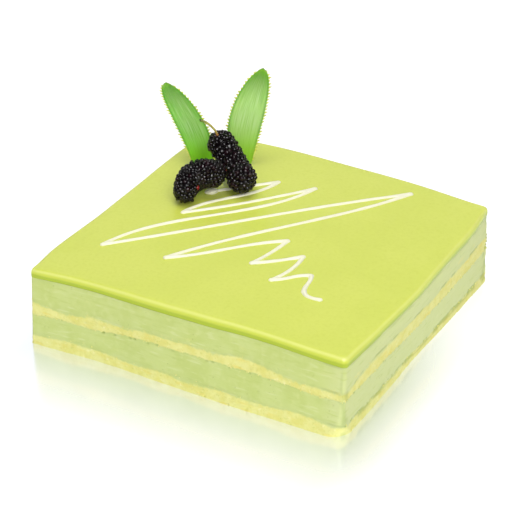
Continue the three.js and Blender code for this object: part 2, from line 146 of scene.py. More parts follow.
# Long berries: a spine with a radius at its start, middle and end, set all over with drupelets. The
# drupelet nearest to the unripe place is red.
LYING_BERRY = {
    "spine": [(-46.9, 7.8, 44.2), (-51.2, 19.2, 47.8), (-39.9, 19.6, 49.2)],
    "radii": (4.9, 6.4, 6.2), "drupelet": 1.9, "unripe": (-42.4, 11.6, 45.1), "seed": 11,
}
LEANING_BERRY = {
    "spine": [(-28.9, 27.7, 45.8), (-33.6, 33.2, 46.7), (-45.4, 38.7, 54.3)],
    "radii": (6.3, 5.7, 6.0), "drupelet": 2.2, "unripe": (-36.2, 26.9, 48.8), "seed": 29,
}
STALK_POINTS = [(-45.6, 36.6, 58.0), (-47.6, 34.6, 63.9), (-50.7, 32.9, 66.9), (-52.8, 31.9, 67.6)]
STALK_RADIUS = 0.6

# Strap leaves: each stands in a slit, leans and tapers to a point, with small teeth on its margins.
LEAF_LEFT = {
    "base": (-57.7, 42.6, 38.45), "facing": 26, "rise": 39.3, "side": -17.0, "side_power": 1.7,
    "back": 6.0, "width": 13.2, "tip_power": 5.9, "tip_round": 0.65, "channel": 1.5, "seed": 5,
}
LEAF_RIGHT = {
    "base": (-43.3, 52.5, 38.25), "facing": 24, "rise": 45.4, "side": 10.1, "side_power": 1.9,
    "back": 8.4, "width": 15.0, "tip_power": 5.1, "tip_round": 0.7, "channel": 1.8, "seed": 8,
}
LEAF_THICKNESS = 0.9
LEAF_DEPTH = 7.0
TOOTH_PITCH = 1.55
TOOTH_DEPTH = 1.45

# Camera: where the photograph was taken from, with its long lens.
CAMERA_PLACE = (396.3, -740.6, 515.6)
CAMERA_AZIMUTH = 28.42
CAMERA_ELEVATION = 30.27
FOCAL_LENGTH = 152.3
SENSOR_WIDTH = 36.0

# White surroundings: where the backdrop stands that shows in reflections, behind the cake and a little
# up, and how strongly the surroundings light dull surfaces.
BACKDROP_DIRECTION = (-0.41, 0.76, 0.5)
BACKDROP_FILL = 0.28

# The board's reflection: how far from the cake it fades out, and toward where it is strongest.
FLOOR_GLOSS_REACH = 56.0
FLOOR_GLOSS_DIRECTION = (0.25, -0.97, 0.0)


# Noise

def hashed(corner, seed):
    """A repeatable number from 0 to 1 for each whole-number corner."""
    parts = corner.astype(np.uint32)
    mixed = parts[:, 0] * np.uint32(374761393) + parts[:, 1] * np.uint32(668265263)
    mixed += parts[:, 2] * np.uint32(2246822519) + np.uint32(seed * 3266489917 % 2 ** 32)
    mixed = (mixed ^ (mixed >> np.uint32(13))) * np.uint32(1274126177)
    mixed = (mixed ^ (mixed >> np.uint32(16))) * np.uint32(2654435761)
    return (mixed ^ (mixed >> np.uint32(15))) / 2.0 ** 32


def noise(points, cell, seed):
    """Smooth noise from -1 to 1 with bumps about one cell apart; a cell may differ along x, y and z."""
    place = points / np.asarray(cell, float)
    corner = np.floor(place).astype(np.int64)
    share = place - corner
    share = share * share * (3 - 2 * share)
    total = np.zeros(len(points))
    for step in np.ndindex(2, 2, 2):
        weight = np.prod(np.where(step, share, 1 - share), axis=1)
        total += weight * hashed(corner + step, seed)
    return 2 * total - 1


def rough_noise(points, cell, seed):
    """Noise in three octaves, each half the last one's size and height."""
    cell = np.asarray(cell, float)
    total = sum(noise(points, cell / 2 ** k, seed + 31 * k) / 2 ** k for k in range(3))
    return total / 1.75


def speck_distance(points, cell, seed):
    """Distance, in cells, to the nearest of one scattered speck per cell, and that speck's number."""
    place = points / np.asarray(cell, float)
    corner = np.floor(place).astype(np.int64)
    nearest = np.full(len(points), 9.0)
    number = np.zeros(len(points))
    for step in np.ndindex(3, 3, 3):
        cell_corner = corner + step - 1
        spot = np.stack([hashed(cell_corner, seed + k) for k in range(3)], axis=1) + cell_corner
        distance = np.linalg.norm(place - spot, axis=1)
        closer = distance < nearest
        nearest[closer] = distance[closer]
        number[closer] = hashed(cell_corner, seed + 7)[closer]
    return nearest, number


def smooth(low, high, value):
    """0 below low and 1 above high, with a smooth step between."""
    share = np.clip((value - low) / (high - low), 0, 1)
    return share * share * (3 - 2 * share)


# Meshes

def make_mesh(name, points, faces, material, values=None):
    """A smooth mesh object from points in millimetres, with named values on its points."""
    mesh = bpy.data.meshes.new(name)
    mesh.from_pydata((np.asarray(points) * MM).tolist(), [], faces)
    for value_name, numbers in (values or {}).items():
        layer = mesh.attributes.new(value_name, "FLOAT", "POINT")
        layer.data.foreach_set("value", np.asarray(numbers, np.float32))
    mesh.polygons.foreach_set("use_smooth", [True] * len(mesh.polygons))
    mesh.materials.append(material)
    piece = bpy.data.objects.new(name, mesh)
    bpy.context.scene.collection.objects.link(piece)
    return piece


def grid_faces(rows, count):
    """Quads between neighbouring rows of points, each row closed on itself."""
    steps = np.arange(count)
    following = (steps + 1) % count
    levels = np.arange(rows - 1)[:, None] * count
    faces = np.stack([levels + steps, levels + following, levels + count + following, levels + count + steps])
    return faces.transpose(1, 2, 0).reshape(-1, 4).tolist()


def tube_faces(rows, count):
    """Faces of a closed tube of rings, whose points are followed by the centres of its two ends."""
    faces = grid_faces(rows, count)
    last, centre = (rows - 1) * count, rows * count
    for k in range(count):
        following = (k + 1) % count
        faces.append([following, k, centre])
        faces.append([last + k, last + following, centre + 1])
    return faces


class Heap:
    """Many small forms gathered into one mesh, with named values on their points."""

    def __init__(self):
        self.points, self.faces, self.values = [], [], {}

    def add(self, points, faces, **values):
        placed = len(self.points)
        self.faces += [[int(corner) + placed for corner in face] for face in faces]
        self.points += points.tolist()
        for name, value in values.items():
            self.values.setdefault(name, []).extend([value] * len(points))

    def mesh(self, name, material):
        return make_mesh(name, self.points, self.faces, material, self.values)


def settle(piece, slot, *nodes):
    """The piece rides on the cake and stands for its solids, which are hidden; slot is not used."""
    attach(piece, "root")
    if nodes:
        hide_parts(*nodes)


# The cake's plan and its seams

def curve_along(values, shares):
    """Values read from a list of evenly spaced ones, on a smooth curve through them."""
    values = np.asarray(values, float)
    place = np.asarray(shares) * (len(values) - 1)
    first = np.minimum(place.astype(int), len(values) - 2)
    share = place - first
    rest = 1 - share
    before, start, end, after = (values[np.clip(first + k, 0, len(values) - 1)] for k in (-1, 0, 1, 2))
    on_start = rest ** 2 * ((1 + 2 * share) * start + share * (end - before) / 2)
    on_end = share ** 2 * ((1 + 2 * rest) * end - rest * (after - start) / 2)
    return on_start + on_end


def plan_outline(corners, swells, radii):
    """Points and outward normals round the cake, with each point's side and its share of that side."""
    along = np.roll(corners, -1, axis=0) - corners
    along = along / np.linalg.norm(along, axis=1, keepdims=True)
    side_shares = np.linspace(0, 1, SIDE_STEPS + 1)
    spots, normals, sides, shares = [], [], [], []
    for side in range(4):
        following = (side + 1) % 4
        normal = np.array([along[side][1], -along[side][0]])
        start = corners[side] + along[side] * radii[side]
        end = corners[following] - along[side] * radii[following]
        swell = curve_along(swells[side], side_shares)[:, None]
        spots.append(start + (end - start) * side_shares[:, None] + normal * swell)
        normals.append(np.tile(normal, (len(side_shares), 1)))
        next_normal = np.array([along[following][1], -along[following][0]])
        turn = math.acos(np.clip(normal @ next_normal, -1, 1))
        angle = turn * np.arange(1, CORNER_STEPS) / CORNER_STEPS
        ahead = np.array([-normal[1], normal[0]])
        radial = np.outer(np.cos(angle), normal) + np.outer(np.sin(angle), ahead)
        spots.append(end - normal * radii[following] + radial * radii[following])
        normals.append(radial)
        sides += [side] * (SIDE_STEPS + CORNER_STEPS)
        shares += [*side_shares, *np.ones(CORNER_STEPS - 1)]
    return np.concatenate(spots), np.concatenate(normals), np.array(sides), np.array(shares)


class Side:
    """The cake's side surface: where a point is, given its place round the cake and its height."""

    def __init__(self, radii):
        table, top = (TABLE_CORNERS, TABLE_SWELLS), (TOP_CORNERS, TOP_SWELLS)
        self.low, self.normals, self.sides, self.shares = plan_outline(*table, [0.0] * 4)
        self.high = plan_outline(*top, [0.0] * 4)[0]
        self.low_rounding = plan_outline(*table, radii["table"])[0] - self.low
        self.high_rounding = plan_outline(*top, radii["top"])[0] - self.high
        self.count = len(self.low)

    def at(self, heights, outward):
        """Points at the given heights, one row of heights after another, pushed out by outward."""
        mix = (heights / TOP_HEIGHT)[..., None]
        tight = 1 - (1 - mix) ** CORNER_TIGHTENING
        spots = self.low + (self.high - self.low) * mix + self.normals * np.asarray(outward)[..., None]
        spots += self.low_rounding + (self.high_rounding - self.low_rounding) * tight
        return np.concatenate([spots, heights[..., None]], axis=-1)

    def seam(self, name):
        """A seam's height round the cake."""
        heights = np.zeros(self.count)
        for side, values in enumerate(SEAMS[name]):
            here = self.sides == side
            heights[here] = curve_along(values, self.shares[here])
        return heights

    def ragged_seam(self, name, seed, amount):
        """A seam with the small unevenness of a real cut."""
        heights = self.seam(name)
        spots = self.at(heights, np.zeros(self.count))
        return heights + amount * (0.6 * noise(spots, 5.0, seed) + 0.6 * rough_noise(spots, 1.8, seed + 1))


# Layers of sponge and mousse

def corner_distance(points, *corners):
    """Distance in plan to the nearest of the given corners of the top."""
    gaps = points[:, None, :2] - TOP_CORNERS[list(corners)]
    return np.linalg.norm(gaps, axis=2).min(axis=1)


def right_share(points, start):
    """1 on the cake's right side and 0 on the rest of it, with a soft step from start, along x."""
    return smooth(start, start + 12, points[:, 0])


def yellow_share(points, above):
    """How yellow the side is at each point: 1 in the sponge, 0 in the mousse, smeared between."""
    crumb = 0.6 * noise(points, 1.2, 51) + 0.4 * noise(points, (3.0, 3.0, 1.2), 52)
    streak = noise(points, (13, 13, 1.2), 53) + 0.5 * noise(points, (6, 6, 0.8), 59)
    blur = 1.2 + 0.6 * noise(points, (16, 16, 7), 54)
    over_base = smooth(-0.4, 0.5, above["base"] + 0.5 * crumb)
    under_top = smooth(-0.6 * blur, 1.8 * blur, 0.6 * streak + 0.3 * crumb - above["top"])
    under_bottom = smooth(-0.8, 2.2, 0.6 * streak + 0.35 * crumb - above["bottom"])
    share = np.maximum(over_base * under_top, under_bottom)
    smear = smooth(0.0, 0.7, noise(points, (9, 9, 1.8), 55))
    smear *= smooth(-0.3, 0.4, noise(points, (22, 22, 6), 56)) * (0.3 + 0.3 * right_share(points, 60))
    near_top = smooth(4.5, 0.5, np.abs(above["top"] - 1.0))
    near_bottom = smooth(2.8, 0.3, np.abs(above["bottom"] - 1.0))
    return np.maximum(share, smear * np.maximum(near_top, near_bottom))


def pit_stain_and_shade_share(points, above):
    """Where the side has dark green pits, tears and stains, and painted shade under the glaze and at the
    front corner, from 0 to 1.
    """
    right = right_share(points, 60)
    along_base = smooth(0.9, 0.2, np.abs(above["base"] + 0.35))
    along_bottom = smooth(1.1, 0.3, np.abs(above["bottom"] + 0.1)) * right
    hole, number = speck_distance(points, (1.9, 1.9, 1.2), 57)
    holes = smooth(0.6, 0.2, hole) * smooth(0.4, 0.8, number)
    patches = smooth(-0.25, 0.35, noise(points, (19, 19, 30), 58))
    blotch = smooth(-0.2, 0.5, noise(points, (5, 5, 2.2), 60))
    stain = 0.6 * blotch * smooth(2.2, 0.6, np.abs(above["bottom"] + 0.8))
    # Painted shade: darker green just under the glaze on the right side.
    under_glaze = 0.5 * smooth(-0.5, 0.4, noise(points, (6, 6, 3), 65))
    under_glaze *= smooth(1.3, 0.3, -above["rim"])
    torn = 0.7 * blotch * smooth(8, 3, corner_distance(points, 2))
    along_top = 0.5 * blotch * smooth(0.9, 0.2, np.abs(above["top"]))
    stains_and_shade = np.max([stain, under_glaze, torn, along_top], axis=0) * right
    # Painted shade down the front corner's rounded edge, against the light it catches, with its darker green
    # crumbs.
    front_corner_crumbs_and_shade = 0.45 * smooth(-0.6, 0.4, noise(points, (3, 3, 4), 64))
    front_corner_crumbs_and_shade *= smooth(2.8, 1.2, corner_distance(points, 1))
    pits = holes * np.maximum(along_base * patches, along_bottom)
    return np.max([pits, stains_and_shade, front_corner_crumbs_and_shade], axis=0)


def sponge_relief(points):
    """Crumb and pores of the cut sponge, outward in millimetres."""
    pore, number = speck_distance(points, (2.0, 2.0, 1.4), 61)
    pores = smooth(0.4, 0.15, pore) * smooth(0.45, 0.85, number)
    crumb = rough_noise(points, (2.0, 2.0, 1.2), 62)
    drag = noise(points, (8, 8, 1.2), 63)
    return 0.14 * crumb + 0.1 * drag - 0.26 * pores - 0.04


def mousse_relief(points):
    """Soft lumps, faint knife drags and a few small pits of the mousse, outward in millimetres."""
    pit, number = speck_distance(points, (4.6, 4.6, 4.0), 71)
    pits = smooth(0.16, 0.05, pit) * smooth(0.55, 0.9, number)
    drag = noise(points, (16, 16, 2.6), 72)
    lumps = noise(points, (9, 9, 5), 74)
    knife = noise(points, (1.3, 1.3, 30), 76) * smooth(16, 3, corner_distance(points, 1))
    return 0.02 * drag + 0.08 * lumps + 0.02 * rough_noise(points, 1.3, 75) + 0.05 * knife - 0.3 * pits


def sharpen(piece, *rings):
    """Keeps the shading apart on the two sides of each ring of edges."""
    mesh = piece.data
    ring_number = np.full(len(mesh.vertices), -1)
    for number, ring in enumerate(rings):
        ring_number[ring] = number
    edges = np.empty(2 * len(mesh.edges), int)
    mesh.edges.foreach_get("vertices", edges)
    starts, ends = ring_number[edges.reshape(-1, 2)].T
    sharp = mesh.attributes.new("sharp_edge", "BOOLEAN", "EDGE")
    sharp.data.foreach_set("value", (starts >= 0) & (starts == ends))


def layer_mesh(name, side, low, high, seams, material):
    """One layer: its cut side as a fine grid, closed by a fan under it and one over it."""
    rows = max(6, round(np.mean(high - low) / ROW_PITCH))
    heights = low + (high - low) * np.linspace(0, 1, rows)[:, None]
    points = side.at(heights, np.zeros_like(heights)).reshape(-1, 3)
    above = {seam: points[:, 2] - np.tile(values, rows) for seam, values in seams.items()}
    yellow, pit = yellow_share(points, above), pit_stain_and_shade_share(points, above)
    relief = yellow * sponge_relief(points) + (1 - yellow) * mousse_relief(points) - 0.35 * pit
    points = side.at(heights, relief.reshape(heights.shape)).reshape(-1, 3)
    inner_depth, inner_drop = np.full(side.count, -2.0), 0.25
    under, over = side.at(low + inner_drop, inner_depth), side.at(high - inner_drop, inner_depth)
    centres = [[0, 0, low.mean() + inner_drop], [0, 0, high.mean() - inner_drop]]
    points = np.concatenate([under, points, over, centres])
    inner = np.zeros(side.count)
    values = {
        "yellow": np.concatenate([inner, yellow, inner, [0, 0]]),
        "pit": np.concatenate([inner, pit, inner, [0, 0]]),
        # Right side share, for the paint's painted sheen that makes the right side paler.
        "right": right_share(points, 62),
    }
    layer = make_mesh(name, points, tube_faces(rows + 2, side.count), material, values)
    first = np.arange(side.count) + side.count
    sharpen(layer, first, first + (rows - 1) * side.count)
    return layer


def cake_layers(materials):
    """The four layers, from the table up, and the crumbs along their seams."""
    side = Side(CUT_RADII)
    seams = {
        "bottom": side.ragged_seam("bottom_sponge", 41, 0.3),
        "base": side.ragged_seam("middle_sponge_base", 42, 0.35),
        "top": side.ragged_seam("middle_sponge_top", 43, 0.3),
        "rim": side.seam("glaze_base"),
    }
    edges = [np.zeros(side.count), *seams.values()]
    nodes = ("bottom_sponge", "lower_mousse", "middle_sponge", "upper_mousse")
    for node, low, high in zip(nodes, edges, edges[1:]):
        slot = node.split("_")[1]
        settle(layer_mesh(node + "_cut", side, low, high, seams, materials[slot]), slot, node)
    scatter_crumbs(side, seams, materials["sponge"])


def scatter_crumbs(side, seams, material):
    """Loose sponge crumbs half sunk in the side along the sponge's edges, and torn bits at the back right."""
    random = np.random.default_rng(17)
    heap = Heap()

    def add_crumb(place, height, size, yellow, pit):
        spot = side.at(np.full(side.count, height), np.full(side.count, -0.35 * size))[place]
        crumb = lump(spot, size * random.uniform(0.7, 1.2, 3), int(random.integers(1000)))
        heap.add(*crumb, yellow=yellow, pit=pit)

    for seam, amount in (("base", 330), ("top", 50), ("bottom", 90)):
        for place in random.integers(0, side.count, amount):
            height = seams[seam][place] + random.normal(0.1, 0.3)
            add_crumb(place, height, random.uniform(0.18, 0.42), random.uniform(0.8, 1.5), 0)
    back_right = 2 * (SIDE_STEPS + CORNER_STEPS)
    for _ in range(34):
        place = back_right + int(random.normal(-4, 6))
        add_crumb(place, random.uniform(16.5, 24.5), random.uniform(0.3, 0.75), 0.6, random.uniform(0.3, 1))
    # Right side share, for the paint's painted sheen that makes the right side paler.
    heap.values["right"] = right_share(np.array(heap.points), 62)
    settle(heap.mesh("sponge_crumbs", material), "sponge")


def unit_sphere(levels):
    """Points and triangles of a round ball of radius 1."""
    ball = bmesh.new()
    bmesh.ops.create_icosphere(ball, subdivisions=levels, radius=1.0)
    corners = np.array([v.co[:] for v in ball.verts])
    faces = np.array([[v.index for v in f.verts] for f in ball.faces])
    ball.free()
    return corners, faces


SMALL_BALL = unit_sphere(2)
FINE_BALL = unit_sphere(3)


def lump(spot, sizes, seed):
    """An uneven crumb round a spot."""
    corners, faces = SMALL_BALL
    uneven = 1 + 0.35 * noise(corners + seed, 0.9, seed)
    return corners * uneven[:, None] * sizes + spot, faces


# Glaze

def crown_at(x):
    drop = np.where(np.asarray(x) < 0, LEFT_CROWN_DROP, RIGHT_CROWN_DROP)
    return CROWN_HEIGHT - drop * (x / HALF_WIDTH) ** 2


def edge_profile():
    """Swell, inset and rise of the glaze's round edge, from its foot to the flat of the top."""
    profile = []
    for angle in np.linspace(0, math.pi / 2, 8)[:-1]:
        swell = EDGE_FOOT + (EDGE_SWELL - EDGE_FOOT) * math.sin(angle)
        profile.append((swell, 0.0, EDGE_WAIST * (1 - math.cos(angle))))
    power = 2 / EDGE_SQUARENESS
    for angle in np.linspace(0, math.pi / 2, 19):
        inset = (EDGE_SWELL + EDGE_INSET) * (1 - math.cos(angle) ** power)
        profile.append((EDGE_SWELL, inset, EDGE_WAIST + (1 - EDGE_WAIST) * math.sin(angle) ** power))
    return profile


def glaze_relief(points):
    """Very soft waves on the poured top, upward in millimetres."""
    flat = points * (1, 1, 0)
    return 0.07 * noise(flat, 36.0, 82) + 0.012 * noise(flat, 9.0, 83)


def glaze_sheet(material):
    """The green glaze: a round edge swept round the cake and rings across the crowned top."""
    side = Side(GLAZE_RADII)
    base = side.seam("glaze_base")
    foot = side.at(base, np.zeros(side.count))
    base = base + 0.1 * noise(foot, 7.0, 84) + 0.04 * noise(foot, 1.8, 85)
    rim = crown_at(foot[:, 0])
    waver = 0.08 * noise(foot, 18.0, 86)
    fullness = smooth(1, 9, corner_distance(foot, 0, 2))
    rings = []
    for swell, inset, rise in edge_profile():
        ring = side.at(base + (rim - base) * rise, swell * (0.3 + 0.7 * fullness) + waver * (rise > 0))
        ring[:, :2] *= (1 - inset * (0.5 + 0.5 * fullness) / HALF_WIDTH)[:, None]
        rings.append(ring)
    edge_rows = len(rings)
    last = rings[-1]
    for share in np.linspace(1, 0, TOP_RINGS + 1)[1:-1]:
        ring = last * (share, share, 1)
        ring[:, 2] = crown_at(ring[:, 0])
        rings.append(ring)
    points = np.concatenate(rings)
    fade = np.concatenate([np.linspace(0, 1, edge_rows), np.ones(TOP_RINGS - 1)]).repeat(side.count)
    points[:, 2] += glaze_relief(points) * fade ** 3
    depth = (np.tile(rim, len(rings)) - points[:, 2]) / np.tile(rim - base, len(rings))
    under = side.at(base + 0.2, np.full(side.count, -2.0))
    centres = [[0, 0, base.mean() + 0.2], [0, 0, crown_at(0)]]
    points = np.concatenate([under, points, centres])
    # Depth below the rim, which the paint turns into a painted highlight at the top of the edge and painted
    # shade toward its foot.
    values = {"depth": np.clip(np.concatenate([np.ones(side.count), depth, [1, 0]]), 0, 1)}
    faces = tube_faces(len(rings) + 1, side.count)
    glaze = make_mesh("glaze_sheet", points, faces, material, values)
    sharpen(glaze, np.arange(side.count) + side.count)
    settle(glaze, "glaze", "glaze")


# White chocolate zigzag

def leg_stations(start, end, handles):
    """Points along one leg of the zigzag, as a cubic with both handles to the leg's left."""
    start, end = np.array(start), np.array(end)
    span = end - start
    length = np.linalg.norm(span)
    left = np.array([-span[1], span[0]]) / length
    s = np.linspace(0, 1, max(4, round(length / LEG_SPACING)))[:, None]
    bow = 3 * s * (1 - s) * (handles[0] * (1 - s) + handles[1] * s)
    return start + span * s + left * bow


def bead(path, widths, heights):
    """A low round bead along a path on the glaze, with round ends."""
    section = np.linspace(0, 2 * math.pi, 12, endpoint=False)
    ahead = np.gradient(path, axis=0)
    ahead /= np.linalg.norm(ahead, axis=1, keepdims=True)
    left = np.stack([-ahead[:, 1], ahead[:, 0]], axis=1)
    rings = []
    for spot, across, width, height in zip(path, left, widths, heights):
        side = np.outer(np.cos(section) * width, across) + spot
        up = crown_at(spot[0]) + np.sin(section) * height
        rings.append(np.column_stack([side, up]))
    ends = [rings[0].mean(axis=0), rings[-1].mean(axis=0)]
    return np.concatenate([*rings, ends]), tube_faces(len(path), len(section))


def zigzag(material):
    """The whole pour: a bead for each leg, a drop at each turn and the lump where it began."""
    random = np.random.default_rng(5)
    heap = Heap()
    corners, ball_faces = FINE_BALL
    for leg, handles in enumerate(ZIGZAG_HANDLES):
        path = leg_stations(ZIGZAG_TURNS[leg], ZIGZAG_TURNS[leg + 1], handles)
        spots = np.column_stack([path, np.zeros(len(path))])
        share = np.linspace(0, 1, len(path))
        near_turn = np.exp(-np.minimum(share, 1 - share) * len(path) * LEG_SPACING / TURN_REACH)
        thick = 1 + 0.12 * noise(spots, 7.0, 91 + leg) + 0.22 * near_turn
        heap.add(*bead(path, BEAD_HALF_WIDTH * thick, BEAD_HEIGHT * thick))
    for x, y in ZIGZAG_TURNS:
        sizes = BEAD_HALF_WIDTH * random.uniform(1.25, 1.5), BEAD_HEIGHT * random.uniform(1.1, 1.25)
        heap.add(corners * (sizes[0], sizes[0], sizes[1]) + (x, y, crown_at(x)), ball_faces)
    blob = corners * (START_BLOB["length"] / 2, START_BLOB["width"] / 2, START_BLOB["height"])
    blob *= (1 + 0.2 * noise(corners, 0.8, 92))[:, None]
    cosine, sine = math.cos(START_BLOB["turn"]), math.sin(START_BLOB["turn"])
    blob[:, :2] = blob[:, :2] @ np.array([[cosine, sine], [-sine, cosine]])
    heap.add(blob + (START_BLOB["x"], START_BLOB["y"], crown_at(START_BLOB["x"])), ball_faces)
    pour = heap.mesh("white_chocolate_zigzag", material)
    melt(pour)
    settle(pour, "white_chocolate", "glaze")


def melt(piece):
    """Fuses a piece's overlapping forms into one soft skin."""
    remesh = piece.modifiers.new("fuse", "REMESH")
    remesh.mode = "VOXEL"
    remesh.voxel_size = 0.24 * MM
    remesh.use_smooth_shade = True
    soften = piece.modifiers.new("soften", "SMOOTH")
    soften.factor = 0.5
    soften.iterations = 5
    shown = piece.evaluated_get(bpy.context.evaluated_depsgraph_get())
    mesh = bpy.data.meshes.new_from_object(shown)
    piece.modifiers.clear()
    piece.data = mesh
    mesh.polygons.foreach_set("use_smooth", [True] * len(mesh.polygons))


# Berries

def bezier(spine, t):
    """Point and direction on a three-point curve."""
    start, middle, end = (np.array(p) for p in spine)
    point = start * (1 - t) ** 2 + middle * 2 * t * (1 - t) + end * t ** 2
    ahead = (middle - start) * (1 - t) + (end - middle) * t
    return point, ahead / np.linalg.norm(ahead)


def berry_radius(radii, t):
    start, middle, end = radii
    return start * (1 - t) * (1 - 2 * t) + middle * 4 * t * (1 - t) + end * t * (2 * t - 1)


def berry_spot(berry, distance, turn):
    """A point on the berry's skin and its outward direction, by distance from its start pole."""
    radii, spine = berry["radii"], berry["spine"]
    length = berry_length(berry)
    start_cap = radii[0] * math.pi / 2
    t = min(max((distance - start_cap) / length, 0), 1)
    lean = 0.0
    if distance < start_cap:
        lean = -(start_cap - distance) / radii[0]
    if distance > start_cap + length:
        lean = (distance - start_cap - length) / radii[2]
    point, ahead = bezier(spine, t)
    bend_side = np.cross(np.subtract(spine[2], spine[0]), np.subtract(spine[1], spine[0]))
    bend_side /= np.linalg.norm(bend_side)
    other = np.cross(ahead, bend_side)
    outward = (bend_side * math.cos(turn) + other * math.sin(turn)) * math.cos(lean) + ahead * math.sin(lean)
    radius = berry_radius(radii, t)
    return point + outward * radius, outward, radius * math.cos(lean)


def berry_length(berry):
    """Length of the berry's spine."""
    spots = np.array([bezier(berry["spine"], t)[0] for t in np.linspace(0, 1, 60)])
    return np.linalg.norm(np.diff(spots, axis=0), axis=1).sum()


def pole_to_pole(berry):
    """Length over the berry's skin from one pole to the other."""
    return berry_length(berry) + (berry["radii"][0] + berry["radii"][2]) * math.pi / 2


def drupelet_places(berry, random):
    """Spots for the drupelets, in rows round the berry with as many in each as fit."""
    total = pole_to_pole(berry)
    rows = round(total / (berry["drupelet"] * 0.87))
    for row in range(rows + 1):
        distance = total * row / rows
        around = 2 * math.pi * berry_spot(berry, distance, 0)[2]
        pole = row in (0, rows)
        count = 1 if pole else max(5, round(around / berry["drupelet"]))
        for step in range(count):
            turn = 2 * math.pi * (step + (row % 2) / 2 + 0.3 * (random.random() - 0.5)) / count
            shift = 0 if pole else 0.26 * berry["drupelet"] * (random.random() - 0.5)
            yield berry_spot(berry, distance + shift, turn)[:2]


def berry_mesh(name, berry, material):
    """A berry: plump drupelets packed over a dark core, each a little different."""
    random = np.random.default_rng(berry["seed"])
    corners, ball_faces = FINE_BALL
    heap = Heap()
    heap.add(*berry_core(berry), tone=0.0)
    places = list(drupelet_places(berry, random))
    spots = np.array([spot for spot, _ in places])
    unripe = np.linalg.norm(spots - berry["unripe"], axis=1).argmin()
    for number, (spot, outward) in enumerate(places):
        size = berry["drupelet"] * random.uniform(0.51, 0.6)
        height = size * random.uniform(0.85, 1.05)
        sideways = np.cross(outward, random.normal(size=3))
        sideways /= np.linalg.norm(sideways)
        lean = outward + 0.18 * random.normal(size=3)
        width = size * random.uniform(0.85, 1.15)
        axes = np.stack([sideways * size, np.cross(outward, sideways) * width, lean * height])
        ball = corners @ axes + spot + outward * size * random.uniform(-0.5, -0.3)
        ball += outward * (0.16 * size * noise(ball, 0.75, berry["seed"]))[:, None]
        heap.add(ball, ball_faces, tone=1.0 if number == unripe else 0.55 * random.random() ** 2)
    return heap.mesh(name, material)


def berry_core(berry):
    """The berry's core: a closed tube with round ends, under the drupelets."""
    total = pole_to_pole(berry)
    rings, around = 25, 28
    points = []
    for row in range(rings + 1):
        distance = total * (0.01 + 0.98 * row / rings)
        for step in range(around):
            spot, outward, _ = berry_spot(berry, distance, 2 * math.pi * step / around)
            points.append(spot - 0.55 * outward)
    ends = np.mean(points[:around], axis=0), np.mean(points[-around:], axis=0)
    return np.array([*points, *ends]), tube_faces(rings + 1, around)


def berries(materials):
    settle(berry_mesh("mulberry_lying", LYING_BERRY, materials["berry"]), "berry", "berry_lying")
    settle(berry_mesh("mulberry_leaning", LEANING_BERRY, materials["berry"]), "berry", "berry_leaning")


def stalk(material):
    """The berry's bent stalk, thicker and dark at its cut end."""
    knots = np.array(STALK_POINTS)
    share = np.linspace(0, 1, 60)
    places = np.linspace(0, 1, len(knots))
    fit = [np.polyfit(places, knots[:, k], len(knots) - 1) for k in range(3)]
    path = np.stack([np.polyval(f, share) for f in fit], axis=1)
    ahead = np.gradient(path, axis=0)
    ahead /= np.linalg.norm(ahead, axis=1, keepdims=True)
    across = np.cross(ahead, (0, 0, 1))
    across /= np.linalg.norm(across, axis=1, keepdims=True)
    over = np.cross(across, ahead)
    radius = STALK_RADIUS * (0.82 + 0.35 * smooth(0.86, 0.97, share) + 0.3 * smooth(0.12, 0, share))
    turns = np.linspace(0, 2 * math.pi, 20, endpoint=False)
    points = []
    for spot, a, b, r in zip(path, across, over, radius):
        ridges = 1 + 0.07 * np.cos(5 * turns)
        points.append(spot + r * (np.outer(np.cos(turns) * ridges, a) + np.outer(np.sin(turns) * ridges, b)))
    points = np.concatenate(points)
    points += 0.05 * noise(points, 1.2, 95)[:, None]
    faces = [face[::-1] for face in tube_faces(len(path), len(turns))]
    along = np.append(share.repeat(len(turns)), [0, 1])
    piece = make_mesh("mulberry_stalk", [*points, path[0], path[-1]], faces, material, {"along": along})
    settle(piece, "stalk", "berry_leaning")


# Leaves

def leaf_half_width(leaf, t):
    base = 0.66 + 0.38 * np.sin(math.pi / 2 * np.clip(t / 0.6, 0, 1))
    tip = (1 - np.maximum(t, 0) ** leaf["tip_power"]) ** leaf["tip_round"]
    return leaf["width"] / 2 * base * tip


def tooth_reach(leaf, length, t, sign):
    """How far the teeth stand out along one margin: each rises slowly and ends in a spine toward the tip."""
    phase = (length + 0.3 * sign) / TOOTH_PITCH
    number = np.floor(phase)
    corner = np.stack([number, np.full(len(number), sign), number], axis=1).astype(int)
    growth = 0.7 + 0.6 * hashed(corner, leaf["seed"])
    ends = np.clip(t * 10, 0, 1) * np.clip((1 - t) * 25, 0, 1)
    return TOOTH_DEPTH * (phase - number) ** 1.1 * growth * ends


